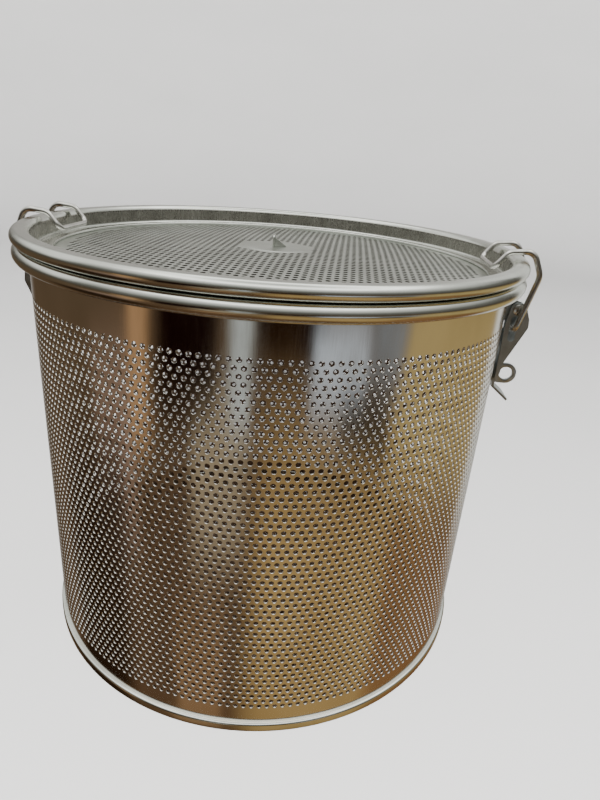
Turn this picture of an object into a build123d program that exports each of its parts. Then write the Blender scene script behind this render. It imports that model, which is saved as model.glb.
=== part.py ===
"""Cheese mold: a perforated steel pot whose dished lid is held down by two draw latches.

Millimetres. The pot's axis is Z and it stands on z = 0. The latches are on +X (right) and
-X (left). The wall, the base and the lid's disc are plain sheets here, without their 2 mm holes.
"""
import os
from math import asin, degrees

from build123d import *

# Sheet metal
SHEET = 0.6  # thickness of the pot and lid sheets
GAP = 0.02  # between pieces that lie on each other
BOTH_ENDS = 5.0  # how far a cutting tool runs past the sheet that it cuts

# Pot
POT_R = 100.0  # outside of the wall
POT_BEAD_Z = 171.7  # centre of the rolled rim
POT_BEAD_R = 3.1
POT_CURL = 310  # degrees that the rim is rolled
RIM_Z = 167.6  # where the rim starts and the wall ends

# Base pan, with the rolled seam that the pot stands on
SEAM_IN_R = 98.9
SEAM_OUT_R = 101.5
SEAM_H = 4.3
SEAM_ROUND = 0.9
BASE_Z = 1.8  # underside of the bottom disc
BASE_LAP = 0.5  # how far the bottom disc runs into the seam

# Lid ring
SKIRT_R = 98.9  # outside of the skirt, which drops into the mouth
LID_BEAD_OUT_R = 105.7
LID_BEAD_H = 5.2
LID_BEAD_Z = POT_BEAD_Z + POT_BEAD_R + 0.3 + LID_BEAD_H / 2
LID_CURL_END_R = 100.4
FLANGE_Z = 171.3  # underside of the flange
HEM_IN_R = 91.0
HEM_OUT_R = 94.2

# Lid disc
DISC_R = 98.0
DOME_R = 91.0
DOME_RISE = 2.8

# Lift tab
TAB_X = -1.4
TAB_T = 0.8
TAB_W = 5.0
TAB_H = 5.0
TAB_ROUND = 1.2
TAB_WEB = 5.6  # how far the web reaches along the disc

# Latch, given for the right side: x is the distance from the pot's axis
LATCH_SIDES = {"right": 0, "left": 180}  # turn about Z
PIVOT = (106.0, 158.4)  # x, z of the lever's pin
PIN_R = 1.5
PIN_FIT = 0.05
PIN_HEAD_R = 2.3
PIN_HEAD_T = 0.55
PIN_HEAD_GAP = 0.2  # between a cheek and the head of the pin

# Latch base: plate, pivot ears and lock eye
PLATE_T = 1.0
PLATE_BOTTOM = 118.6
PLATE_TOP = 163.2
EAR_OUT_Y = 9.1
EAR_T = 1.0
EAR_FOOT_X = 100.3
EAR_OUT = 2.6  # reach of the ear past the pivot, outwards and up or down
EAR_DROP = 5.0  # from the pivot down to the ear's lower corner at the plate
EAR_ROUND = 2.2
EYE = (109.5, 126.4)  # x, z of the lock eye
EYE_R = 4.8
EYE_HOLE_R = 3.0
EYE_T = 1.2
EYE_FOOT_X = 100.6

# Lever: a channel open towards the pot, with a flared finger tab; outlines are x, z
LEVER_HALF_W = 10.5
LEVER_T = 1.0
CHEEK = [
    (103.2, 161.1),
    (101.8, 151.0),
    (102.3, 126.0),
    (103.5, 126.0),
    (104.5, 134.2),
    (111.7, 151.0),
    (111.3, 154.6),
    (108.8, 161.1),
]
CHEEK_TOP_ROUND = 2.5
CHEEK_SIDE_ROUND = 1.8
CHANNEL = [
    (100.0, 163.0),
    (100.0, 115.0),
    (102.4, 115.0),
    (102.5, 126.0),
    (103.52, 134.44),
    (110.7, 151.2),
    (110.5, 153.2),
    (113.0, 154.9),
    (113.0, 163.0),
]
FINGER_TAB = [
    (103.75, 128.0),
    (103.5, 126.0),
    (103.75, 121.9),
    (111.1, 116.0),
    (110.5, 115.2),
    (102.75, 121.4),
    (102.5, 126.0),
    (102.75, 128.0),
]
FINGER_HALF_W = 6.5
EYE_SLOT = (120.7, 132.8)  # z of the slot that the lock eye passes through
EYE_SLOT_W = 3.2
HOOK_SLOT_L = 11.0
HOOK_SLOT_W = 3.0
HOOK_SLOT_DROP = 0.2  # of the slot's middle, under the hook

# Bail: half of the wire from its hooked end to the crossbar, and the radius of each bend
WIRE_R = 1.2
ARM_Y = 13.0  # from the middle of the latch to each arm
HOOK = (105.4, 150.0)  # x, z of the hooked ends
HOOK_IN_Y = 7.9
BAIL_ARM = [
    (HOOK[0], HOOK_IN_Y, HOOK[1]),
    (HOOK[0], ARM_Y, HOOK[1]),
    (110.8, ARM_Y, 173.5),
    (106.5, ARM_Y, 183.0),
    (96.6, ARM_Y, 182.0),
    (91.6, ARM_Y, 175.4),
]
BAIL_BENDS = [2.4, 7.0, 5.0, 4.0, 3.0]

# Rivets that hold the latch base
RIVET_ZS = (138.0, 151.0)
RIVET_R = 1.5
RIVET_HOLE_R = 1.55
RIVET_HEAD_R = 2.6
RIVET_HEAD_H = 1.1
RIVET_SEAT = 0.07  # between the flat of an inner head and the curved wall


def save(piece, name):
    """Labels a finished piece and writes its STEP file."""
    piece.label = name
    export_step(piece, f"parts/{name}.step")


os.makedirs("parts", exist_ok=True)

# Pot wall: a straight cylinder, with holes for the latches' rivets
with BuildPart() as pot_wall:
    with BuildSketch(Plane.XY.offset(SEAM_H + GAP)):
        Circle(POT_R)
        Circle(POT_R - SHEET, mode=Mode.SUBTRACT)
    extrude(amount=RIM_Z - SEAM_H - 2 * GAP)
    for x in (-POT_R - BOTH_ENDS, POT_R - BOTH_ENDS):
        with BuildSketch(Plane.YZ.offset(x)):
            with Locations(*[(0, z) for z in RIVET_ZS]):
                Circle(RIVET_HOLE_R)
        extrude(amount=2 * BOTH_ENDS, mode=Mode.SUBTRACT)
save(pot_wall.part, "pot_wall")

# Pot rim: the wall's top edge, rolled outwards into a bead
with BuildPart() as pot_rim:
    with BuildSketch(Plane.XZ):
        with BuildLine():
            bead_x = POT_R - SHEET + POT_BEAD_R
            outside = CenterArc((bead_x, POT_BEAD_Z), POT_BEAD_R, 180, -POT_CURL)
            inside = CenterArc((bead_x, POT_BEAD_Z), POT_BEAD_R - SHEET, 180, -POT_CURL)
            Line(outside @ 1, inside @ 1)
            Polyline(outside @ 0, (POT_R - SHEET, RIM_Z), (POT_R, RIM_Z), inside @ 0)
        make_face()
    revolve(axis=Axis.Z)
save(pot_rim.part, "pot_rim")

# Base pan: the bottom disc and the rounded seam around it
with BuildPart() as base_pan:
    with BuildSketch(Plane.XZ) as seam:
        with Locations(((SEAM_IN_R + SEAM_OUT_R) / 2, SEAM_H / 2)):
            Rectangle(SEAM_OUT_R - SEAM_IN_R, SEAM_H)
        fillet(seam.vertices(), SEAM_ROUND)
        with Locations(((SEAM_IN_R + BASE_LAP) / 2, BASE_Z + SHEET / 2)):
            Rectangle(SEAM_IN_R + BASE_LAP, SHEET)
    revolve(axis=Axis.Z)
save(base_pan.part, "base_pan")

# Lid ring: bead, skirt, flange and the folded hem round the disc
with BuildPart() as lid_ring:
    with BuildSketch(Plane.XZ):
        with BuildLine():
            skirt_in = SKIRT_R - SHEET
            bead_r = LID_BEAD_H / 2
            left_x = skirt_in + bead_r
            right_x = LID_BEAD_OUT_R - bead_r
            bead_low = LID_BEAD_Z - bead_r
            bead_high = LID_BEAD_Z + bead_r
            hem_top = FLANGE_Z + 2 * SHEET
            Polyline(
                (HEM_IN_R + SHEET, hem_top),
                (HEM_OUT_R, hem_top),
                (HEM_OUT_R, FLANGE_Z + SHEET),
                (skirt_in, FLANGE_Z + SHEET),
                (skirt_in, LID_BEAD_Z),
            )
            CenterArc((left_x, LID_BEAD_Z), bead_r, 180, -90)
            Line((left_x, bead_high), (right_x, bead_high))
            CenterArc((right_x, LID_BEAD_Z), bead_r, 90, -180)
            Polyline(
                (right_x, bead_low),
                (LID_CURL_END_R, bead_low),
                (LID_CURL_END_R, bead_low + SHEET),
                (right_x, bead_low + SHEET),
            )
            CenterArc((right_x, LID_BEAD_Z), bead_r - SHEET, -90, 180)
            Line((right_x, bead_high - SHEET), (left_x, bead_high - SHEET))
            CenterArc((left_x, LID_BEAD_Z), bead_r - SHEET, 90, 90)
            Polyline(
                (SKIRT_R, LID_BEAD_Z),
                (SKIRT_R, FLANGE_Z),
                (HEM_IN_R + SHEET, FLANGE_Z),
            )
            CenterArc((HEM_IN_R + SHEET, FLANGE_Z + SHEET), SHEET, -90, -180)
        make_face()
    revolve(axis=Axis.Z)
save(lid_ring.part, "lid_ring")

# Lid disc: a shallow dome with a flat rim that lies under the flange
disc_rim_z = FLANGE_Z - GAP
dome_radius = (DOME_R**2 + DOME_RISE**2) / (2 * DOME_RISE)
dome_top_z = disc_rim_z + DOME_RISE
dome_centre = (0, dome_top_z - dome_radius)
dome_angle = degrees(asin(DOME_R / dome_radius))
with BuildPart() as lid_disc:
    with BuildSketch(Plane.XZ):
        with BuildLine():
            top = CenterArc(dome_centre, dome_radius, 90, -dome_angle)
            under = CenterArc(dome_centre, dome_radius - SHEET, 90, -dome_angle)
            Polyline(
                top @ 1,
                (DISC_R, disc_rim_z),
                (DISC_R, disc_rim_z - SHEET),
                under @ 1,
            )
            Line(top @ 0, under @ 0)
        make_face()
    revolve(axis=Axis.Z)
save(lid_disc.part, "lid_disc")

# Lift tab: an upright strip with a three-cornered web to one side of it
tab_z = dome_top_z + GAP
with BuildPart() as lid_tab:
    with BuildSketch(Plane.XY.offset(tab_z)):
        with Locations((TAB_X + TAB_T / 2, 0)):
            Rectangle(TAB_T, TAB_W)
    extrude(amount=TAB_H)
    top_corners = lid_tab.edges().filter_by(Axis.X).group_by(Axis.Z)[-1]
    fillet(top_corners, TAB_ROUND)
    with BuildSketch(Plane.XZ):
        with BuildLine():
            Polyline(
                (TAB_X + TAB_T / 2, tab_z),
                (TAB_X + TAB_WEB, tab_z),
                (TAB_X + TAB_WEB, tab_z + TAB_T),
                (TAB_X + TAB_T / 2, tab_z + TAB_H - TAB_T),
                close=True,
            )
        make_face()
    extrude(amount=TAB_T / 2, both=True)
save(lid_tab.part, "lid_tab")

# Latch base: a plate curved to the wall, two ears for the pivot and the lock eye
with BuildPart() as latch_base:
    with BuildSketch(Plane.XY.offset(PLATE_BOTTOM)):
        Circle(POT_R + GAP + PLATE_T)
        Circle(POT_R + GAP, mode=Mode.SUBTRACT)
        with Locations((POT_R, 0)):
            Rectangle(2 * BOTH_ENDS, 2 * EAR_OUT_Y, mode=Mode.INTERSECT)
    extrude(amount=PLATE_TOP - PLATE_BOTTOM)
    for ear_y in (-EAR_OUT_Y, EAR_OUT_Y - EAR_T):
        with BuildSketch(Plane.XZ.offset(-ear_y)) as ear:
            with BuildLine():
                Polyline(
                    (EAR_FOOT_X, PLATE_TOP),
                    (EAR_FOOT_X, PIVOT[1] - EAR_DROP),
                    (PIVOT[0] + EAR_OUT, PIVOT[1] - EAR_OUT),
                    (PIVOT[0] + EAR_OUT, PIVOT[1] + EAR_OUT),
                    close=True,
                )
            make_face()
            fillet(ear.vertices().group_by(Axis.X)[-1], EAR_ROUND)
            with Locations(PIVOT):
                Circle(PIN_R + GAP, mode=Mode.SUBTRACT)
        extrude(amount=-EAR_T)
    with BuildSketch(Plane.XZ):
        with Locations(((EYE_FOOT_X + EYE[0]) / 2, EYE[1])):
            Rectangle(EYE[0] - EYE_FOOT_X, 2 * EYE_R)
        with Locations(EYE):
            Circle(EYE_R)
            Circle(EYE_HOLE_R, mode=Mode.SUBTRACT)
    extrude(amount=EYE_T / 2, both=True)
    with BuildSketch(Plane.YZ.offset(POT_R - BOTH_ENDS)):
        with Locations(*[(0, z) for z in RIVET_ZS]):
            Circle(RIVET_HOLE_R)
    extrude(amount=BOTH_ENDS + 2 * PLATE_T, mode=Mode.SUBTRACT)

# Pivot pin: a plain shank with a flat riveted head outside each cheek
with BuildPart() as latch_pin:
    with BuildSketch(Plane.XZ):
        with Locations(PIVOT):
            Circle(PIN_R)
    head_y = LEVER_HALF_W + PIN_HEAD_GAP
    extrude(amount=head_y, both=True)
    for side in (-1, 1):
        with BuildSketch(Plane.XZ.offset(side * head_y)):
            with Locations(PIVOT):
                Circle(PIN_HEAD_R)
        extrude(amount=side * PIN_HEAD_T)

# Lever: two tapering cheeks joined along their outer edge, and the finger tab
with BuildPart() as latch_lever:
    with BuildSketch(Plane.XZ) as cheek:
        with BuildLine():
            Polyline(*CHEEK, close=True)
        make_face()
        fillet(cheek.vertices().group_by(Axis.Y)[-1], CHEEK_TOP_ROUND)
        fillet(cheek.vertices().sort_by(Axis.X)[-2:], CHEEK_SIDE_ROUND)
    extrude(amount=LEVER_HALF_W, both=True)
    with BuildSketch(Plane.XZ):
        with BuildLine():
            Polyline(*CHANNEL, close=True)
        make_face()
    extrude(amount=LEVER_HALF_W - LEVER_T, both=True, mode=Mode.SUBTRACT)
    with BuildSketch(Plane.XZ):
        with BuildLine():
            Polyline(*FINGER_TAB, close=True)
        make_face()
    extrude(amount=FINGER_HALF_W, both=True)
    with BuildSketch(Plane.YZ.offset(POT_R)):
        with Locations((0, sum(EYE_SLOT) / 2)):
            Rectangle(EYE_SLOT_W, EYE_SLOT[1] - EYE_SLOT[0])
    extrude(amount=2 * BOTH_ENDS, mode=Mode.SUBTRACT)
    with BuildSketch(Plane.XZ):
        with Locations(PIVOT):
            Circle(PIN_R + PIN_FIT)
        with Locations((HOOK[0], HOOK[1] - HOOK_SLOT_DROP)):
            SlotOverall(HOOK_SLOT_L, HOOK_SLOT_W, rotation=90)
    extrude(amount=LEVER_HALF_W + BOTH_ENDS, both=True, mode=Mode.SUBTRACT)

# Bail: one length of spring wire, bent over the rims, with its ends hooked into the cheeks
with BuildPart() as latch_bail:
    with BuildLine() as wire:
        FilletPolyline(
            *BAIL_ARM,
            *[(x, -y, z) for x, y, z in reversed(BAIL_ARM)],
            radius=BAIL_BENDS + BAIL_BENDS[::-1],
        )
    with BuildSketch(Plane(origin=wire.line @ 0, z_dir=wire.line % 0)):
        Circle(WIRE_R)
    sweep()

# Rivets that hold the latch base to the wall, domed at both ends
with BuildPart() as latch_rivets:
    rivet_in = POT_R - SHEET - RIVET_SEAT
    rivet_out = POT_R + GAP + PLATE_T + GAP
    dome_r = (RIVET_HEAD_R**2 + RIVET_HEAD_H**2) / (2 * RIVET_HEAD_H)
    dome_turn = degrees(asin(RIVET_HEAD_R / dome_r))
    dome_back = dome_r - RIVET_HEAD_H
    for rivet_z in RIVET_ZS:
        with BuildSketch(Plane.XZ):
            with BuildLine():
                outer_dome = CenterArc((rivet_out - dome_back, rivet_z), dome_r, 0, dome_turn)
                inner_dome = CenterArc((rivet_in + dome_back, rivet_z), dome_r, 180, -dome_turn)
                Polyline(
                    outer_dome @ 1,
                    (rivet_out, rivet_z + RIVET_R),
                    (rivet_in, rivet_z + RIVET_R),
                    inner_dome @ 1,
                )
                Line(outer_dome @ 0, inner_dome @ 0)
            make_face()
        revolve(axis=Axis((0, 0, rivet_z), (1, 0, 0)))

latch_pieces = {
    "latch_base": latch_base,
    "latch_pin": latch_pin,
    "latch_lever": latch_lever,
    "latch_bail": latch_bail,
    "latch_rivets": latch_rivets,
}
for side, turn in LATCH_SIDES.items():
    for name, piece in latch_pieces.items():
        with BuildPart() as placed:
            add(piece.part, rotation=(0, 0, turn))
        save(placed.part, f"{side}_{name}")
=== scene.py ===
"""Looks of the cheese mold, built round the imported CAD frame. Metres, Z up, latches on +X and -X."""
import math

import bmesh
import bpy
import numpy as np
from mathutils import Matrix, Vector
from mathutils.geometry import delaunay_2d_cdt


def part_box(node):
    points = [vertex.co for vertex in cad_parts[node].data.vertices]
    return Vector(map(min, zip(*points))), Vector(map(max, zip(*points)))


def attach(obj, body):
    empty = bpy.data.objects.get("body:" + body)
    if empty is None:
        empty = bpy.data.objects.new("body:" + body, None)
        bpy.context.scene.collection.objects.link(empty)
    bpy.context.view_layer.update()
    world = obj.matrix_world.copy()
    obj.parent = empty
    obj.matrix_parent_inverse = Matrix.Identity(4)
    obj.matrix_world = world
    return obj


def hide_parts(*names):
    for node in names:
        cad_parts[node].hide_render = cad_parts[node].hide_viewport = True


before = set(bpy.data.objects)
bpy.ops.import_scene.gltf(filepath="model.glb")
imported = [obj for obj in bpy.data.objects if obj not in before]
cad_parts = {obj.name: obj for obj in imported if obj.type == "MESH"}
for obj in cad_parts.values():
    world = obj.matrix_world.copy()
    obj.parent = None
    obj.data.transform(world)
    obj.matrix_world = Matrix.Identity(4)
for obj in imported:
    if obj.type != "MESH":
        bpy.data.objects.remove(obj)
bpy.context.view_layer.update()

MM = 0.001

# Sheet and holes
SHEET_MM = 0.6
SHEET = SHEET_MM * MM
HOLE_R = 1.0 * MM
HOLE_SIDES = 12
WALL_COLUMNS = 204  # holes in one turn of the wall
WALL_ROWS = 55
FIRST_ROW_Z = 12.7 * MM
LAST_ROW_Z = 155.7 * MM
WALL_PANELS = 4
DISC_PITCH = 3.3 * MM
DISC_TURN = math.radians(30)  # how far the rows of holes in the discs are turned from X
WALL_LIP = 1.0  # how far the rounded lip of a hole leans out of it
DISC_LIP = 0.1
LATHE_STEPS = 256

# The map of a sheet: each skin's share of it, its margin, and how far a hole's wall runs to the middle
MAP_SIZE = (0.48, 0.96)
MAP_MARGIN = (0.01, 0.02)
MAP_HOLE_DEPTH = 0.55

# What the frame says
wall_low, wall_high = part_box("pot_wall")
rim_low, rim_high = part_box("pot_rim")
ring_low, ring_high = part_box("lid_ring")
disc_low, disc_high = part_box("lid_disc")
pan_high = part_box("base_pan")[1]
WALL_R = wall_high[0]


# ---------------------------------------------------------------- mesh helpers
def triangle_mesh(name, points, triangles, corner_normals):
    """A mesh of triangles with a given normal at each of their corners."""
    mesh = bpy.data.meshes.new(name)
    mesh.vertices.add(len(points))
    mesh.vertices.foreach_set("co", points.astype(np.float32).ravel())
    mesh.loops.add(3 * len(triangles))
    mesh.loops.foreach_set("vertex_index", triangles.astype(np.int32).ravel())
    mesh.polygons.add(len(triangles))
    mesh.polygons.foreach_set("loop_start", np.arange(0, 3 * len(triangles), 3, dtype=np.int32))
    mesh.update(calc_edges=True)
    mesh.polygons.foreach_set("use_smooth", np.ones(len(triangles), bool))
    mesh.normals_split_custom_set(corner_normals.reshape(-1, 3).tolist())
    return mesh


def unit(vectors):
    return vectors / np.maximum(np.linalg.norm(vectors, axis=-1, keepdims=True), 1e-12)


def sheet_mesh(name, drawing, to_world, normal_at, lip, hole_skin):
    """A sheet SHEET thick from a flat drawing of triangles.

    The drawing is its points, its triangles and the middle of the hole that each point rims, or nan.
    to_world(points, depth) places the points, normal_at(points) gives the outward normal there and
    lip is how far the rim of a hole leans outwards. The walls of the holes have the finish of the outer
    skin, 0, or of the inner one, 1, as hole_skin says.
    """
    flat, triangles, centres = drawing
    count = len(flat)
    a, b, c = (flat[triangles[:, i]] for i in range(3))
    turn = (b[:, 0] - a[:, 0]) * (c[:, 1] - a[:, 1]) - (b[:, 1] - a[:, 1]) * (c[:, 0] - a[:, 0])
    triangles = np.where((turn < 0)[:, None], triangles[:, ::-1], triangles)
    outside, inside = to_world(flat, 0.0), to_world(flat, SHEET)
    normals = normal_at(flat)
    starts = triangles.ravel()
    ends = np.roll(triangles, -1, axis=1).ravel()
    free = ~np.isin(starts * count + ends, ends * count + starts)
    i, j = starts[free], ends[free]
    first = np.stack([j, i, i + count], 1)
    second = np.stack([j, i + count, j + count], 1)
    edge_side = unit(np.cross(outside[j] - outside[i], normals[i]))
    to_hole = to_world(np.nan_to_num(centres), 0.0) - outside
    to_hole = unit(to_hole - np.sum(to_hole * normals, 1, keepdims=True) * normals)
    rims = ~np.isnan(centres[:, 0])
    round_hole = (rims[i] & rims[j])[:, None]
    side_i = np.where(round_hole, to_hole[i], edge_side)
    side_j = np.where(round_hole, to_hole[j], edge_side)
    lip_i = np.where(round_hole, unit(to_hole[i] + lip * normals[i]), edge_side)
    lip_j = np.where(round_hole, unit(to_hole[j] + lip * normals[j]), edge_side)
    faces = np.concatenate([triangles, triangles[:, ::-1] + count, first, second])
    corner_normals = np.concatenate([
        normals[triangles],
        -normals[triangles[:, ::-1]],
        np.stack([lip_j, lip_i, side_i], 1),
        np.stack([lip_j, side_i, side_j], 1),
    ])
    mesh = triangle_mesh(name, np.concatenate([outside, inside]), faces, corner_normals)
    inner = np.zeros(len(faces), np.int32)
    inner[len(triangles):2 * len(triangles)] = 1
    inner[2 * len(triangles):] = hole_skin
    mesh.polygons.foreach_set("material_index", inner)
    # the map that the finish is baked into: the two skins side by side, each hole's wall inside its rim
    low = flat.min(0)
    scale = MAP_SIZE / (flat.max(0) - low)
    outer_map = (flat - low) * scale + MAP_MARGIN
    inner_map = outer_map + (0.5, 0)
    middles = (np.where(np.isnan(centres), flat, centres) - low) * scale + MAP_MARGIN
    deep_map = (1 - MAP_HOLE_DEPTH) * outer_map + MAP_HOLE_DEPTH * middles
    corner_map = np.concatenate([
        outer_map[triangles],
        inner_map[triangles[:, ::-1]],
        np.stack([outer_map[j], outer_map[i], deep_map[i]], 1),
        np.stack([outer_map[j], deep_map[i], deep_map[j]], 1),
    ])
    layer = mesh.uv_layers.new(name="OFBake")
    layer.data.foreach_set("uv", corner_map.astype(np.float32).ravel())
    return mesh


def rounded(corners, steps=6):
    """A closed outline from (x, z, radius) corners, each turned into an arc."""
    outline = []
    for k, (x, z, radius) in enumerate(corners):
        here = Vector((x, z))
        if radius == 0:
            outline.append(here)
            continue
        before = (Vector(corners[k - 1][:2]) - here).normalized()
        after = (Vector(corners[(k + 1) % len(corners)][:2]) - here).normalized()
        half = before.angle(after) / 2
        centre = here + (before + after).normalized() * (radius / math.sin(half))
        reach = radius / math.tan(half)
        start, end = here + before * reach - centre, here + after * reach - centre
        sweep = start.angle_signed(end)
        for s in range(steps + 1):
            turn = -sweep * s / steps
            spun = (
                start.x * math.cos(turn) - start.y * math.sin(turn),
                start.x * math.sin(turn) + start.y * math.cos(turn),
            )
            outline.append(centre + Vector(spun))
    return outline


def lathe_mesh(name, outline, sharp=40):
    """Turns a closed (radius, z) outline in millimetres round Z."""
    points, faces = [], []
    size = len(outline)
    for k in range(LATHE_STEPS):
        angle = 2 * math.pi * k / LATHE_STEPS
        for p in outline:
            points.append((p.x * MM * math.cos(angle), p.x * MM * math.sin(angle), p.y * MM))
    for k in range(LATHE_STEPS):
        here, there = k * size, (k + 1) % LATHE_STEPS * size
        for m in range(size):
            n = (m + 1) % size
            faces.append((here + m, here + n, there + n, there + m))
    mesh = bpy.data.meshes.new(name)
    mesh.from_pydata(points, [], faces)
    area = sum(p.x * q.y - q.x * p.y for p, q in zip(outline, outline[1:] + outline[:1]))
    if area > 0:
        mesh.flip_normals()
    mesh.shade_smooth()
    mesh.set_sharp_from_angle(angle=math.radians(sharp))
    return mesh


# ---------------------------------------------------------------- perforated sheets
def hole_rim(x, y, x_scale=1.0):
    """The points round a hole, narrowed in x where x is an angle."""
    angles = np.arange(HOLE_SIDES) * (2 * math.pi / HOLE_SIDES)
    return np.stack([x + HOLE_R * np.cos(angles) * x_scale, y + HOLE_R * np.sin(angles)], 1)


def wall_panel(panel):
    """One panel of the wall: staggered rows of holes between two plain bands."""
    columns = WALL_COLUMNS // WALL_PANELS
    first, last = panel * columns, (panel + 1) * columns
    row_step = (LAST_ROW_Z - FIRST_ROW_Z) / (WALL_ROWS - 1)
    half_turn = math.pi / WALL_COLUMNS  # angle of half a pitch
    grid, flat, centres, triangles = {}, [], [], []

    def corner(line, half):
        """The index of a point on the brick grid that parts the holes."""
        if (line, half) not in grid:
            grid[line, half] = len(flat)
            z = FIRST_ROW_Z + (line - 0.5) * row_step
            z = {-1: wall_low[2], WALL_ROWS + 1: wall_high[2]}.get(line, z)
            flat.append((half * half_turn, z))
            centres.append((np.nan, np.nan))
        return grid[line, half]

    for row in range(WALL_ROWS):
        z = FIRST_ROW_Z + row * row_step
        for column in range(first, last):
            half = 2 * column + row % 2
            ring = [
                corner(row, half + 1), corner(row + 1, half + 1), corner(row + 1, half),
                corner(row + 1, half - 1), corner(row, half - 1), corner(row, half),
            ]
            base = len(flat)
            flat.extend(hole_rim(half * half_turn, z, 1 / WALL_R))
            centres.extend([(half * half_turn, z)] * HOLE_SIDES)
            for k in range(6):
                rim = [base + (2 * k + step) % HOLE_SIDES for step in (-1, 0, 1)]
                here, there = ring[k], ring[(k + 1) % 6]
                triangles += [(here, there, rim[1]), (here, rim[1], rim[0]), (there, rim[2], rim[1])]
    for low_line in (-1, WALL_ROWS):
        for half in range(2 * first - 1, 2 * last - 1):
            a, b = corner(low_line, half), corner(low_line, half + 1)
            c, d = corner(low_line + 1, half + 1), corner(low_line + 1, half)
            triangles += [(a, b, c), (a, c, d)]

    def to_world(points, depth):
        r = WALL_R - depth
        return np.stack([r * np.cos(points[:, 0]), r * np.sin(points[:, 0]), points[:, 1]], 1)

    def normal_at(points):
        return np.stack([np.cos(points[:, 0]), np.sin(points[:, 0]), 0 * points[:, 0]], 1)

    drawing = np.array(flat), np.array(triangles), np.array(centres)
    return sheet_mesh(f"pot_wall_panel_{panel + 1}", drawing, to_world, normal_at, WALL_LIP, 0)


def disc_drawing(hole_in, hole_out, circles):
    """A flat disc with a hexagonal field of holes between two radii, and plain rings outside it."""
    flat, centres, triangles, corners = [], [], [], {}
    reach = int(hole_out / DISC_PITCH) + 2
    size = DISC_PITCH / math.sqrt(3)  # from a hole's middle to the corners of its hexagon
    spin = Matrix.Rotation(DISC_TURN, 2)
    loose = {}  # the hexagons' sides that no second hexagon shares

    def corner(x, y):
        """The index of a corner that hexagons share."""
        key = (round(x / DISC_PITCH * 60), round(y / DISC_PITCH * 60))
        if key not in corners:
            corners[key] = len(flat)
            flat.append(tuple(spin @ Vector((x, y))))
            centres.append((np.nan, np.nan))
        return corners[key]

    for row in range(-2 * reach, 2 * reach + 1):
        for column in range(-reach, reach + 1):
            x = (column + 0.5 * (row % 2)) * DISC_PITCH
            y = row * DISC_PITCH * math.sqrt(3) / 2
            if not hole_in < math.hypot(x, y) < hole_out:
                continue
            ring = [
                corner(x + size * math.cos(math.radians(60 * k - 30)),
                       y + size * math.sin(math.radians(60 * k - 30)))
                for k in range(6)
            ]
            base = len(flat)
            middle = tuple(spin @ Vector((x, y)))
            flat.extend(tuple(spin @ Vector(p)) for p in hole_rim(x, y))
            centres.extend([middle] * HOLE_SIDES)
            for k in range(6):
                rim = [base + (2 * k + turn) % HOLE_SIDES for turn in (-1, 0, 1)]
                here, there = ring[k], ring[(k + 1) % 6]
                triangles += [(here, there, rim[1]), (here, rim[1], rim[0]), (there, rim[2], rim[1])]
                if (there, here) in loose:
                    del loose[there, here]
                else:
                    loose[here, there] = True
    # the plain sheet between the field's ragged edges and the circles
    border = sorted({k for edge in loose for k in edge})
    local = {k: n for n, k in enumerate(border)}
    points = [Vector(flat[k]) for k in border]
    edges = [(local[a], local[b]) for a, b in loose]
    whole = list(border)
    for radius, steps in circles:
        start = len(points)
        for k in range(steps):
            angle = 2 * math.pi * k / steps
            spot = (radius * math.cos(angle), radius * math.sin(angle))
            points.append(Vector(spot))
            whole.append(len(flat))
            flat.append(spot)
            centres.append((np.nan, np.nan))
            edges.append((start + k, start + (k + 1) % steps))
    made = delaunay_2d_cdt(points, edges, [], 0, 1e-9)
    origin = [next(iter(o)) for o in made[3]]
    border_edges = {(local[a], local[b]) for a, b in loose}
    tris = [tuple(origin[v] for v in face) for face in made[2]]
    triangles += [tuple(whole[v] for v in t) for t in outside_field(tris, points, border_edges)]
    return np.array(flat), np.array(triangles), np.array(centres)


def outside_field(tris, points, border_edges):
    """The triangles outside the field of holes, whose border's edges run counter-clockwise."""
    def ccw(t):
        a, b, c = (points[v] for v in t)
        return t if (b - a).cross(c - a) > 0 else t[::-1]

    tris = [ccw(t) for t in tris]
    by_edge = {(t[k], t[(k + 1) % 3]): n for n, t in enumerate(tris) for k in range(3)}
    inside = {}
    todo = [(by_edge[e], True) for e in border_edges if e in by_edge]
    todo += [(by_edge[e[::-1]], False) for e in border_edges if e[::-1] in by_edge]
    while todo:
        n, is_inside = todo.pop()
        if n in inside:
            continue
        inside[n] = is_inside
        t = tris[n]
        for k in range(3):
            edge = (t[k], t[(k + 1) % 3])
            on_border = edge in border_edges or edge[::-1] in border_edges
            if not on_border and edge[::-1] in by_edge:
                todo.append((by_edge[edge[::-1]], is_inside))
    return [t for n, t in enumerate(tris) if not inside.get(n, False)]


# ---------------------------------------------------------------- latch meshes
WIRE_STEP = 2 * MM  # the longest gap between points of a wire's path


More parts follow.
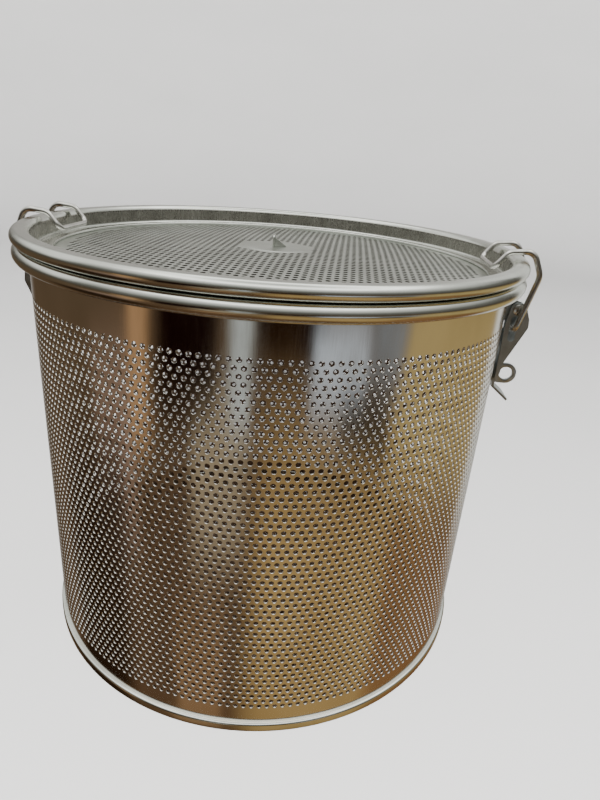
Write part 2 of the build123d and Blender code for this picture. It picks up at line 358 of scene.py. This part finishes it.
def swept_wire(name, path, radius, sides=20):
    """A round wire along a path of points, with its two ends rounded off."""
    points, faces = [], []
    count = len(path)
    tangents = [(path[min(k + 1, count - 1)] - path[max(k - 1, 0)]).normalized() for k in range(count)]
    across = tangents[0].orthogonal().normalized()
    rings = []
    for k in range(count):
        if k:
            across = tangents[k - 1].rotation_difference(tangents[k]) @ across
            across = (across - tangents[k] * across.dot(tangents[k])).normalized()
        rings.append((path[k], tangents[k], across, radius))

    def cap(ring, way, angles):
        """Rings that close an end of the wire with a flattened dome."""
        middle, along, side, _ = ring
        turns = [math.radians(a) for a in angles]
        return [
            (middle + along * (way * radius * 0.6 * math.sin(a)), along, side, radius * math.cos(a))
            for a in turns
        ]

    rings = cap(rings[0], -1, (80, 55, 28)) + rings + cap(rings[-1], 1, (28, 55, 80))
    for middle, along, side, size in rings:
        other = along.cross(side)
        for s in range(sides):
            turn = 2 * math.pi * s / sides
            points.append(middle + (side * math.cos(turn) + other * math.sin(turn)) * size)
    for k in range(len(rings) - 1):
        for s in range(sides):
            t = (s + 1) % sides
            faces.append((k * sides + s, k * sides + t, (k + 1) * sides + t, (k + 1) * sides + s))
    faces.append(tuple(range(sides))[::-1])
    faces.append(tuple(range((len(rings) - 1) * sides, len(rings) * sides)))
    mesh = bpy.data.meshes.new(name)
    mesh.from_pydata(points, [], faces)
    mesh.shade_smooth()
    return mesh


def filleted_path(corners, radii, step=math.radians(6)):
    """Points along a line of straight runs whose corners are rounded with the given radii."""
    path = [corners[0]]
    for before, here, after, radius in zip(corners, corners[1:], corners[2:], radii):
        a, b = (before - here).normalized(), (after - here).normalized()
        half = a.angle(b) / 2
        centre = here + (a + b).normalized() * (radius / math.sin(half))
        start = here + a * (radius / math.tan(half)) - centre
        turn = math.pi - 2 * half
        axis = a.cross(b)
        count = max(3, math.ceil(turn / step))
        for k in range(count + 1):
            path.append(centre + Matrix.Rotation(-turn * k / count, 3, axis) @ start)
    path.append(corners[-1])
    spaced = [path[0]]
    for p in path[1:]:
        last = spaced[-1]
        pieces = max(1, math.ceil((p - last).length / WIRE_STEP))
        spaced += [last.lerp(p, (k + 1) / pieces) for k in range(pieces)]
    return spaced


def spun_mesh(name, outline, centre, axis, steps=40):
    """Turns an open (along, radius) outline in millimetres round an axis through a point."""
    axis = Vector(axis)
    side = axis.orthogonal().normalized()
    other = axis.cross(side)
    points, faces = [], []
    size = len(outline)
    for k in range(steps):
        turn = 2 * math.pi * k / steps
        out = side * math.cos(turn) + other * math.sin(turn)
        points += [centre + axis * (along * MM) + out * (radius * MM) for along, radius in outline]
    for k in range(steps):
        here, there = k * size, (k + 1) % steps * size
        faces += [(here + m, there + m, there + m + 1, here + m + 1) for m in range(size - 1)]
    mesh = bpy.data.meshes.new(name)
    mesh.from_pydata(points, [], faces)
    merge_close(mesh)
    mesh.shade_smooth()
    mesh.set_sharp_from_angle(angle=math.radians(50))
    return mesh


def merge_close(mesh):
    """Joins points that coincide and turns every face outwards."""
    made = bmesh.new()
    made.from_mesh(mesh)
    bmesh.ops.remove_doubles(made, verts=made.verts, dist=0.001 * MM)
    bmesh.ops.recalc_face_normals(made, faces=made.faces)
    made.to_mesh(mesh)
    made.free()


def softened(name, node, edge=0.18, fold=0.0):
    """The CAD node's shape with its edges rounded off, and its long outer folds rounded more."""
    source = bpy.data.objects[node]
    mesh = source.data.copy()
    mesh.transform(source.matrix_world)
    mesh.name = name
    mesh.materials.clear()
    made = bmesh.new()
    made.from_mesh(mesh)
    bmesh.ops.remove_doubles(made, verts=made.verts, dist=0.002 * MM)
    bmesh.ops.dissolve_limit(
        made, angle_limit=math.radians(0.5), verts=made.verts, edges=made.edges, delimit=set()
    )
    half_width = max(abs(v.co.y) for v in made.verts)

    def sharp_edges():
        return [e for e in made.edges if e.is_manifold and e.calc_face_angle(0) > math.radians(28)]

    def is_fold(e):
        """Whether an edge lies on the widest side and bounds a large face that looks outwards."""
        if sum(abs(abs(v.co.y) - half_width) for v in e.verts) > 0.02 * MM:
            return False
        return any(
            abs(f.normal.y) < 0.1 and abs(f.normal.x) > 0.6 and f.calc_area() > 40 * MM * MM
            for f in e.link_faces
        )

    def bevel(edges, offset, segments):
        bmesh.ops.bevel(
            made, geom=edges, offset=offset * MM, offset_type="OFFSET", segments=segments,
            profile=0.5, affect="EDGES", clamp_overlap=True,
        )

    folds = [e for e in sharp_edges() if fold and is_fold(e)]
    if folds:
        bevel(folds, fold, 5)
    bevel(sharp_edges(), edge, 2)
    # where short edges leave a bevel no room, its points coincide
    bmesh.ops.remove_doubles(made, verts=made.verts, dist=0.002 * MM)
    made.to_mesh(mesh)
    made.free()
    mesh.shade_smooth()
    mesh.set_sharp_from_angle(angle=math.radians(35))
    return mesh


# ---------------------------------------------------------------- materials
def steel(name, light, dark, roughness, spread, cloud, grain, wave, grain_lines, around):
    """Steel with a clouded tint, uneven gloss, fine lines along the sheet and a slight waviness.

    cloud and grain are sizes in millimetres and wave is a size and a depth, or None. grain_lines stretches
    the fine lines along the axes, and around winds the pattern round Z.
    """
    material = bpy.data.materials.new(name)
    material.use_nodes = True
    nodes, links = material.node_tree.nodes, material.node_tree.links
    shader = nodes["Principled BSDF"]
    shader.inputs["Metallic"].default_value = 1.0
    place = nodes.new("ShaderNodeTexCoord")
    spot = place.outputs["Object"]
    if around:
        split = nodes.new("ShaderNodeSeparateXYZ")
        links.new(spot, split.inputs[0])
        angle = nodes.new("ShaderNodeMath")
        angle.operation = "ARCTAN2"
        links.new(split.outputs["Y"], angle.inputs[0])
        links.new(split.outputs["X"], angle.inputs[1])
        arc = nodes.new("ShaderNodeMath")
        arc.operation = "MULTIPLY"
        arc.inputs[1].default_value = WALL_R
        links.new(angle.outputs[0], arc.inputs[0])
        joined = nodes.new("ShaderNodeCombineXYZ")
        links.new(arc.outputs[0], joined.inputs["X"])
        links.new(split.outputs["Z"], joined.inputs["Z"])
        spot = joined.outputs[0]

    def noise(size, stretch, detail):
        mapping = nodes.new("ShaderNodeMapping")
        mapping.inputs["Scale"].default_value = [s / (size * MM) for s in stretch]
        links.new(spot, mapping.inputs["Vector"])
        texture = nodes.new("ShaderNodeTexNoise")
        texture.inputs["Scale"].default_value = 1.0
        texture.inputs["Detail"].default_value = detail
        links.new(mapping.outputs[0], texture.inputs["Vector"])
        return texture.outputs["Fac"]

    clouds = noise(cloud, (1, 1, 0.5), 4)
    tint = nodes.new("ShaderNodeMix")
    tint.data_type = "RGBA"
    tint.inputs[6].default_value = (*dark, 1)
    tint.inputs[7].default_value = (*light, 1)
    clear = nodes.new("ShaderNodeMapRange")
    clear.inputs["From Min"].default_value = 0.35
    clear.inputs["From Max"].default_value = 0.65
    links.new(clouds, clear.inputs["Value"])
    links.new(clear.outputs[0], tint.inputs[0])
    links.new(tint.outputs[2], shader.inputs["Base Color"])

    lines = noise(grain, grain_lines, 3)
    patches = noise(cloud * 0.35, (1, 1, 0.6), 3)
    mixed = nodes.new("ShaderNodeMath")
    mixed.operation = "ADD"
    links.new(lines, mixed.inputs[0])
    links.new(patches, mixed.inputs[1])
    gloss = nodes.new("ShaderNodeMapRange")
    gloss.inputs["From Min"].default_value = 0.7
    gloss.inputs["From Max"].default_value = 1.3
    gloss.inputs["To Min"].default_value = roughness - spread
    gloss.inputs["To Max"].default_value = roughness + spread
    links.new(mixed.outputs[0], gloss.inputs["Value"])
    links.new(gloss.outputs[0], shader.inputs["Roughness"])

    fine = nodes.new("ShaderNodeBump")
    fine.inputs["Strength"].default_value = 1.0
    fine.inputs["Distance"].default_value = 0.002 * MM
    links.new(lines, fine.inputs["Height"])
    if wave:
        size, depth = wave
        broad = nodes.new("ShaderNodeBump")
        broad.inputs["Strength"].default_value = 1.0
        broad.inputs["Distance"].default_value = depth * MM
        links.new(noise(size, (1, 1, 0.45), 1.5), broad.inputs["Height"])
        links.new(broad.outputs[0], fine.inputs["Normal"])
    links.new(fine.outputs[0], shader.inputs["Normal"])
    return material


# name: light, dark, roughness, its spread, cloud, grain, wave, grain_lines, around
FINISHES = {
    "polished_steel": (
        (0.82, 0.80, 0.76), (0.72, 0.69, 0.64), 0.13, 0.04, 26, 0.5,
        (34, 0.6), (1.0, 1.0, 0.05), True,
    ),
    # the inside of the wall is duller, and its darker, warmer colour is painted shade of the pot's inside
    "inner_steel_painted_shade": (
        (0.60, 0.50, 0.45), (0.46, 0.38, 0.34), 0.40, 0.08, 18, 0.5,
        (34, 0.9), (1.0, 1.0, 0.05), True,
    ),
    # a very dark colour that paints the shade inside and under the pot, not the steel's own colour
    "bottom_steel_painted_shade": (
        (0.24, 0.17, 0.12), (0.16, 0.11, 0.08), 0.40, 0.08, 18, 0.5,
        (30, 0.25), (0.05, 1.0, 1.0), False,
    ),
    "shaded_steel": (
        (0.19, 0.18, 0.155), (0.12, 0.115, 0.10), 0.40, 0.08, 18, 0.5,
        (30, 0.25), (0.05, 1.0, 1.0), False,
    ),
    "rim_steel": (
        (0.81, 0.83, 0.79), (0.72, 0.74, 0.69), 0.17, 0.06, 12, 0.35,
        None, (0.04, 0.04, 1.0), True,
    ),
    # a darker colour that paints the shade and dim reflection in the lid's recess between the bead and the
    # disc
    "skirt_steel_painted_shade": (
        (0.50, 0.49, 0.45), (0.38, 0.37, 0.335), 0.26, 0.08, 9, 0.4,
        (14, 0.15), (1.0, 1.0, 0.05), True,
    ),
    "satin_steel": (
        (0.66, 0.68, 0.64), (0.55, 0.57, 0.53), 0.34, 0.07, 22, 0.45,
        (30, 0.25), (0.05, 1.0, 1.0), False,
    ),
    "latch_steel": (
        (0.66, 0.70, 0.71), (0.50, 0.54, 0.55), 0.40, 0.09, 7, 0.3,
        (9, 0.05), (1.0, 1.0, 0.06), False,
    ),
    "wire_steel": (
        (0.78, 0.77, 0.74), (0.62, 0.61, 0.58), 0.20, 0.07, 5, 0.25,
        None, (1.0, 1.0, 0.1), False,
    ),
}
finish = {name: steel(name, *values) for name, values in FINISHES.items()}


# ---------------------------------------------------------------- pot
def place_piece(mesh, body, node, slot, *finishes):
    """Links a mesh as a piece that rides on a body and stands for a CAD node.

    It has its slot's finish, or the finishes named for its faces' material numbers.
    """
    for key in finishes or (slot,):
        mesh.materials.append(finish[key])
    piece = bpy.data.objects.new(mesh.name, mesh)
    bpy.context.scene.collection.objects.link(piece)
    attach(piece, body)
    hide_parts(node)


def arc(x, z, radius, start, sweep, steps):
    """Points of an arc round (x, z), from an angle in degrees and over a sweep."""
    angles = [math.radians(start + sweep * k / steps) for k in range(steps + 1)]
    return [Vector((x + radius * math.cos(a), z + radius * math.sin(a))) for a in angles]


# the wall's inner skin takes the darker inner finish, which is painted shade of the pot's inside
for panel in range(WALL_PANELS):
    place_piece(
        wall_panel(panel), "pot", "pot_wall", "polished_steel", "polished_steel", "inner_steel_painted_shade",
    )

# The rim: the wall's top edge rolled outwards into a bead that stops short of the wall
bead_r = 3.1
bead_x = rim_high[0] / MM - bead_r
bead_z = rim_high[2] / MM - bead_r
wall_in = bead_x - bead_r
rim_outline = (
    arc(bead_x, bead_z, bead_r, 180, -310, 56)
    + arc(bead_x, bead_z, bead_r - SHEET_MM, -130, 310, 48)
    + [Vector((wall_in + SHEET_MM, rim_low[2] / MM)), Vector((wall_in, rim_low[2] / MM))]
)
place_piece(lathe_mesh("pot_rim_bead", rim_outline), "pot", "pot_rim", "rim_steel")

seam_in, seam_out = 98.9, pan_high[0] / MM
seam_high, seam_round = pan_high[2] / MM, 0.9
seam_outline = rounded([
    (seam_in, 0, seam_round), (seam_out, 0, seam_round),
    (seam_out, seam_high, seam_round), (seam_in, seam_high, seam_round),
])
place_piece(lathe_mesh("base_seam", seam_outline), "pot", "base_pan", "rim_steel")


def flat_sheet(top):
    """How sheet_mesh places a level sheet and which way it faces."""
    def to_world(points, depth):
        return np.column_stack([points, np.full(len(points), top - depth)])

    def normal_at(points):
        return np.tile((0.0, 0.0, 1.0), (len(points), 1))

    return to_world, normal_at


BASE_TOP = 2.4 * MM
base_drawing = disc_drawing(0, 92 * MM, [(99.2 * MM, 192), (95.5 * MM, 192)])
base_disc = sheet_mesh("base_disc", base_drawing, *flat_sheet(BASE_TOP), DISC_LIP, 1)
# both skins of the base disc and its holes are painted dark, as shade inside and under the pot
place_piece(base_disc, "pot", "base_pan", "satin_steel", "bottom_steel_painted_shade", "bottom_steel_painted_shade")

# ---------------------------------------------------------------- lid
# The ring's outline runs from the hem over the flange, up the skirt, round the bead and back below
skirt_in, skirt_out = 98.3, 98.9
lid_bead_r = 2.6
lid_bead_z = ring_high[2] / MM - lid_bead_r
left_x, right_x = skirt_in + lid_bead_r, ring_high[0] / MM - lid_bead_r
flange_z = ring_low[2] / MM
hem_in, hem_out, curl_end = 91.0, 94.2, 100.4
hem_top = flange_z + 2 * SHEET_MM
lid_outline = (
    arc(hem_in + SHEET_MM, flange_z + SHEET_MM, SHEET_MM, -90, -180, 10)
    + arc(hem_out - 0.3, hem_top - 0.3, 0.3, 90, -90, 4)
    + [Vector((hem_out, flange_z + SHEET_MM + 0.05)), Vector((skirt_in - 1.2, flange_z + SHEET_MM))]
    + arc(skirt_in - 1.2, flange_z + SHEET_MM + 1.2, 1.2, -90, 90, 6)
    + arc(left_x, lid_bead_z, lid_bead_r, 180, -90, 20)
    + arc(right_x, lid_bead_z, lid_bead_r, 90, -180, 40)
    + arc(curl_end + 0.3, lid_bead_z - lid_bead_r + 0.3, 0.3, -90, -180, 6)
    + arc(right_x, lid_bead_z, lid_bead_r - SHEET_MM, -90, 180, 32)
    + arc(left_x, lid_bead_z, lid_bead_r - SHEET_MM, 90, 90, 16)
    + arc(skirt_out - 1.8, flange_z + 1.8, 1.8, 0, -90, 8)
)
lid_ring = lathe_mesh("lid_rolled_ring", lid_outline)
# the skirt's inside above the flange gets the darker finish, which is painted shade of the lid's recess
for face in lid_ring.polygons:
    off_skirt = abs(face.center.xy.length / MM - skirt_in)
    face.material_index = int(off_skirt < 0.1 and face.center.z / MM > flange_z + 1.8)
place_piece(lid_ring, "lid", "lid_ring", "rim_steel", "rim_steel", "skirt_steel_painted_shade")

DOME_RIM_R = 91 * MM
PATCH_R = 14.4 * MM
PATCH_RISE = 0.22 * MM
PATCH_EDGE = 0.8 * MM
disc_rim_z = disc_low[2] + SHEET
dome_rise = disc_high[2] - disc_rim_z
dome_radius = (DOME_RIM_R**2 + dome_rise**2) / (2 * dome_rise)


def dome_height(r):
    """The top of the lid's disc at a radius: a shallow dome with a raised round patch."""
    dome = np.sqrt(np.maximum(dome_radius**2 - r**2, 0)) - dome_radius + dome_rise
    step = np.clip((PATCH_R + PATCH_EDGE / 2 - r) / PATCH_EDGE, 0, 1)
    return disc_rim_z + np.maximum(dome, 0) + PATCH_RISE * step * step * (3 - 2 * step)


def dome_to_world(points, depth):
    r = np.hypot(points[:, 0], points[:, 1])
    return np.column_stack([points, dome_height(r) - depth])


def dome_normal(points):
    r = np.hypot(points[:, 0], points[:, 1])
    slope = (dome_height(r + 1e-5) - dome_height(np.abs(r - 1e-5))) / 2e-5
    out = points / np.maximum(r, 1e-9)[:, None]
    return unit(np.column_stack([-out * slope[:, None], np.ones(len(points))]))


patch_circles = [
    (r * MM, 96) for r in (15.0, 14.8, 14.6, 14.4, 14.2, 14.0, 13.6, 11.5, 9.0, 6.0, 3.0)
]
lid_circles = [(98 * MM, 192), (91 * MM, 192), (88.6 * MM, 192)] + patch_circles
lid_drawing = disc_drawing(17.0 * MM, 86.4 * MM, lid_circles)
lid_disc = sheet_mesh("lid_perforated_disc", lid_drawing, dome_to_world, dome_normal, DISC_LIP, 1)
place_piece(lid_disc, "lid", "lid_disc", "satin_steel", "satin_steel", "shaded_steel")
place_piece(softened("lid_lift_tab", "lid_tab", edge=0.15), "lid", "lid_tab", "satin_steel")

# ---------------------------------------------------------------- latches
WIRE_R = 1.2 * MM
bail_arm = [
    (105.4, 7.9, 150.0), (105.4, 13.0, 150.0), (110.8, 13.0, 173.5),
    (106.5, 13.0, 183.0), (96.6, 13.0, 182.0), (91.6, 13.0, 175.4),
]
bail_bends = [2.4 * MM, 7.0 * MM, 5.0 * MM, 4.0 * MM, 3.0 * MM]
bail_corners = [Vector(p) * MM for p in bail_arm]
bail_corners += [Vector((x, -y, z)) * MM for x, y, z in reversed(bail_arm)]
bail_path = filleted_path(bail_corners, bail_bends + bail_bends[::-1])

PIVOT = Vector((106.0, 0, 158.4)) * MM
PIN_END = 11.25
pin_head = [
    (PIN_END - 0.55, 1.5), (PIN_END - 0.55, 2.2), (PIN_END - 0.45, 2.3),
    (PIN_END - 0.2, 2.3), (PIN_END, 1.9), (PIN_END, 0),
]
pin_outline = [(-along, r) for along, r in reversed(pin_head)] + pin_head

# A rivet: a domed head outside the base plate and the same one inside the wall
RIVET_HEIGHTS = (138.0, 151.0)
HEAD_R, HEAD_RISE, SHANK_R = 2.6, 1.1, 1.5
OUTER_SEAT, INNER_SEAT = 101.04, 99.33
head_curve = (HEAD_R**2 + HEAD_RISE**2) / (2 * HEAD_RISE)
head_sweep = math.asin(HEAD_R / head_curve)
rivet_head = [
    (OUTER_SEAT + head_curve * math.cos(head_sweep * k / 8) - (head_curve - HEAD_RISE),
     head_curve * math.sin(head_sweep * k / 8))
    for k in range(9)
]
rivet_back = [(INNER_SEAT - (along - OUTER_SEAT), r) for along, r in reversed(rivet_head)]
rivet_outline = rivet_head + [(OUTER_SEAT, SHANK_R), (INNER_SEAT, SHANK_R)] + rivet_back

for side, turn in {"right": 0, "left": math.pi}.items():
    spin = Matrix.Rotation(turn, 4, "Z")
    base, lever = f"{side}_latch_base", f"{side}_latch_lever"

    bail = swept_wire(f"{side}_bail_wire", bail_path, WIRE_R)
    bail.transform(spin)
    place_piece(bail, f"{side}_bail", f"{side}_latch_bail", "wire_steel")

    channel = softened(f"{side}_lever_channel", lever, 0.2, 0.6)
    place_piece(channel, f"{side}_lever", lever, "latch_steel")
    place_piece(softened(f"{side}_base_plate", base, 0.2), "pot", base, "latch_steel")

    pin = spun_mesh(f"{side}_pivot_pin", pin_outline, PIVOT, (0, 1, 0))
    pin.transform(spin)
    place_piece(pin, "pot", f"{side}_latch_pin", "wire_steel")

    for number, height in enumerate(RIVET_HEIGHTS, 1):
        centre = Vector((0, 0, height)) * MM
        rivet = spun_mesh(f"{side}_rivet_{number}", rivet_outline, centre, (1, 0, 0))
        rivet.transform(spin)
        place_piece(rivet, "pot", f"{side}_latch_rivets", "wire_steel")


# ---------------------------------------------------------------- floor, light and camera
def floor_finish():
    """A matt pale grey that is barely mottled."""
    material = bpy.data.materials.new("pale_floor")
    material.use_nodes = True
    nodes, links = material.node_tree.nodes, material.node_tree.links
    shader = nodes["Principled BSDF"]
    shader.inputs["Roughness"].default_value = 0.85
    shader.inputs["Specular IOR Level"].default_value = 0.1
    texture = nodes.new("ShaderNodeTexNoise")
    texture.inputs["Scale"].default_value = 14
    pale = nodes.new("ShaderNodeMapRange")
    pale.inputs["To Min"].default_value = 0.43
    pale.inputs["To Max"].default_value = 0.47
    links.new(texture.outputs["Fac"], pale.inputs["Value"])
    links.new(pale.outputs[0], shader.inputs["Base Color"])
    return material


# The floor is flat out to FLOOR_R and then curves up into a round backdrop
FLOOR_R, SWEEP_R, WALL_TOP, FLOOR_STEPS = 1.2, 0.9, 2.0, 64
floor_profile = [(0.0, 0.0), (0.4, 0.0), (FLOOR_R, 0.0)]
floor_profile += [
    (FLOOR_R + SWEEP_R * math.sin(math.radians(a)), SWEEP_R * (1 - math.cos(math.radians(a))))
    for a in range(10, 91, 10)
]
floor_profile.append((FLOOR_R + SWEEP_R, WALL_TOP))
floor_points, floor_faces = [], []
for k in range(FLOOR_STEPS):
    turn = 2 * math.pi * k / FLOOR_STEPS
    floor_points += [(r * math.cos(turn), r * math.sin(turn), z) for r, z in floor_profile]
for k in range(FLOOR_STEPS):
    here, there = k * len(floor_profile), (k + 1) % FLOOR_STEPS * len(floor_profile)
    floor_faces += [
        (here + m, here + m + 1, there + m + 1, there + m) for m in range(len(floor_profile) - 1)
    ]
floor_mesh = bpy.data.meshes.new("floor")
floor_mesh.from_pydata(floor_points, [], floor_faces)
merge_close(floor_mesh)
floor_mesh.shade_smooth()
floor_mesh.materials.append(floor_finish())
floor = bpy.data.objects.new("floor", floor_mesh)
bpy.context.scene.collection.objects.link(floor)
floor.visible_glossy = False

# What the polished steel mirrors, as soft patches. The azimuth runs from the front towards +X.
ROOM = [
    # azimuth, elevation, half width, half height, softness, colour, cover
    (166, -25, 30, 60, 4, (0.85, 0.85, 0.80), 0.95),
    (-168, -25, 26, 60, 10, (0.5, 0.48, 0.45), 0.9),
    (56, -46, 52, 17, 12, (0.42, 0.28, 0.11), 0.95),
    (104, -20, 34, 11, 6, (0.44, 0.33, 0.14), 0.95),
    (114, -46, 38, 14, 8, (0.22, 0.11, 0.045), 0.9),
    (-15, -31, 12, 8, 5, (0.36, 0.29, 0.19), 0.9),
    (-24, -50, 14, 6, 4, (0.30, 0.18, 0.09), 0.8),
    (-70, -28, 11, 9, 6, (0.33, 0.22, 0.16), 0.9),
    (-54, -18, 5.5, 10, 3, (0.44, 0.26, 0.13), 0.95),
    (-88, -42, 22, 16, 8, (0.015, 0.007, 0.003), 0.9),
    (-30, -15, 14, 10, 4, (0.006, 0.001, 0.001), 0.99),
    (16, -14, 16, 6, 3, (0.012, 0.004, 0.001), 0.98),
    (-6, -18.5, 4, 8, 2, (0.50, 0.55, 0.55), 0.95),
    (39, -20, 13, 4.5, 3, (0.55, 0.61, 0.68), 0.95),
    (62, -17, 9, 4.5, 4, (0.22, 0.24, 0.26), 0.9),
    (54, -25, 13, 3, 2.5, (0.03, 0.024, 0.016), 0.9),
    (-112, 36, 26, 24, 10, (1.1, 1.1, 1.04), 0.9),
]


def room_world():
    """The world: a sky that brightens upwards with the room's patches over it."""
    world = bpy.data.worlds.new("studio")
    world.use_nodes = True
    nodes, links = world.node_tree.nodes, world.node_tree.links
    background = nodes["Background"]
    place = nodes.new("ShaderNodeTexCoord")
    split = nodes.new("ShaderNodeSeparateXYZ")
    links.new(place.outputs["Generated"], split.inputs[0])
    sky = nodes.new("ShaderNodeValToRGB")
    rise = nodes.new("ShaderNodeMapRange")
    rise.inputs["From Min"].default_value = -1
    links.new(split.outputs["Z"], rise.inputs["Value"])
    links.new(rise.outputs[0], sky.inputs[0])
    stops = [
        (0.0, (0.11, 0.06, 0.03)), (0.44, (0.10, 0.07, 0.042)), (0.50, (0.08, 0.07, 0.055)),
        (0.64, (0.17, 0.17, 0.155)), (0.78, (0.60, 0.60, 0.57)), (0.86, (1.1, 1.1, 1.05)),
        (0.93, (2.7, 2.7, 2.6)), (1.0, (0.8, 0.8, 0.76)),
    ]
    ramp = sky.color_ramp
    while len(ramp.elements) < len(stops):
        ramp.elements.new(0.5)
    for element, (position, colour) in zip(ramp.elements, stops):
        element.position = position
        element.color = (*colour, 1)
    colour_out = sky.outputs[0]

    def math_node(operation, *values):
        node = nodes.new("ShaderNodeMath")
        node.operation = operation
        for socket, value in zip(node.inputs, values):
            if isinstance(value, (int, float)):
                socket.default_value = value
            else:
                links.new(value, socket)
        return node.outputs[0]

    def level_part(x, y):
        """How far the direction reaches along a level one."""
        return math_node(
            "ADD",
            math_node("MULTIPLY", split.outputs["X"], x),
            math_node("MULTIPLY", split.outputs["Y"], y),
        )

    def angle_from(a):
        """The angle round Z from azimuth a, which is measured from the front towards +X."""
        along = level_part(math.sin(a), -math.cos(a))
        across = level_part(math.cos(a), math.sin(a))
        return math_node("ARCTAN2", across, along)

    lift = math_node("ARCSINE", split.outputs["Z"])
    for azimuth, elevation, wide, high, soft, colour, cover in ROOM:
        # the patch is upright: its azimuth and elevation fade out one by one
        fades = []
        spans = (angle_from(math.radians(azimuth)), 0, wide), (lift, elevation, high)
        for value, middle, half in spans:
            off = math_node("ABSOLUTE", math_node("SUBTRACT", value, math.radians(middle)))
            fade = nodes.new("ShaderNodeMapRange")
            fade.interpolation_type = "SMOOTHSTEP"
            fade.inputs["From Min"].default_value = math.radians(half + soft)
            fade.inputs["From Max"].default_value = math.radians(max(half - soft, 0))
            links.new(off, fade.inputs["Value"])
            fades.append(fade.outputs[0])
        both = math_node("MULTIPLY", math_node("MULTIPLY", *fades), cover)
        over = nodes.new("ShaderNodeMix")
        over.data_type = "RGBA"
        over.inputs[7].default_value = (*colour, 1)
        links.new(both, over.inputs[0])
        links.new(colour_out, over.inputs[6])
        colour_out = over.outputs[2]

    # only what metal mirrors is the room; everything else gets a faint even light
    rays = nodes.new("ShaderNodeLightPath")
    pick = nodes.new("ShaderNodeMix")
    pick.data_type = "RGBA"
    pick.inputs[6].default_value = (0.04, 0.04, 0.04, 1)
    links.new(rays.outputs["Is Glossy Ray"], pick.inputs[0])
    links.new(colour_out, pick.inputs[7])
    links.new(pick.outputs[2], background.inputs["Color"])
    bpy.context.scene.world = world


room_world()


def softbox(name, place, aim, size, power, colour=(1, 1, 1)):
    """A square of soft light that the metal doesn't mirror."""
    light = bpy.data.lights.new(name, "AREA")
    light.shape = "RECTANGLE"
    light.size, light.size_y = size
    light.energy = power
    light.color = colour
    lamp = bpy.data.objects.new(name, light)
    lamp.location = place
    lamp.rotation_euler = (Vector(aim) - Vector(place)).to_track_quat("-Z", "Y").to_euler()
    lamp.visible_glossy = False
    bpy.context.scene.collection.objects.link(lamp)


OBJECT_MIDDLE = (0, 0, 0.09)
softbox("key", (0.217, -1.93, 1.01), OBJECT_MIDDLE, (0.5, 0.5), 345, (1.0, 0.99, 0.97))
softbox("top", (0, 0, 1.9), OBJECT_MIDDLE, (1.4, 1.4), 7)

CAMERA_AT = Vector((0.01576, -0.26026, 0.21309))
CAMERA_DOWN = 0.4043  # radians below the horizon
CAMERA_ROLL = -0.0794
ROUND = Matrix.Rotation(math.radians(3.5), 3, "Z")  # the latches are turned a little towards the camera
level = Vector((1, 0, 0))
back = Vector((0, -math.cos(CAMERA_DOWN), math.sin(CAMERA_DOWN)))
upright = back.cross(level)
right = level * math.cos(CAMERA_ROLL) - upright * math.sin(CAMERA_ROLL)
up = level * math.sin(CAMERA_ROLL) + upright * math.cos(CAMERA_ROLL)
lens = bpy.data.cameras.new("camera")
lens.sensor_fit = "AUTO"
lens.sensor_width = 36
lens.lens = 26.02
lens.clip_start = 0.01
camera = bpy.data.objects.new("camera", lens)
camera.matrix_world = (ROUND @ Matrix((right, up, back)).transposed()).to_4x4()
camera.location = ROUND @ CAMERA_AT
bpy.context.scene.collection.objects.link(camera)
bpy.context.scene.camera = camera
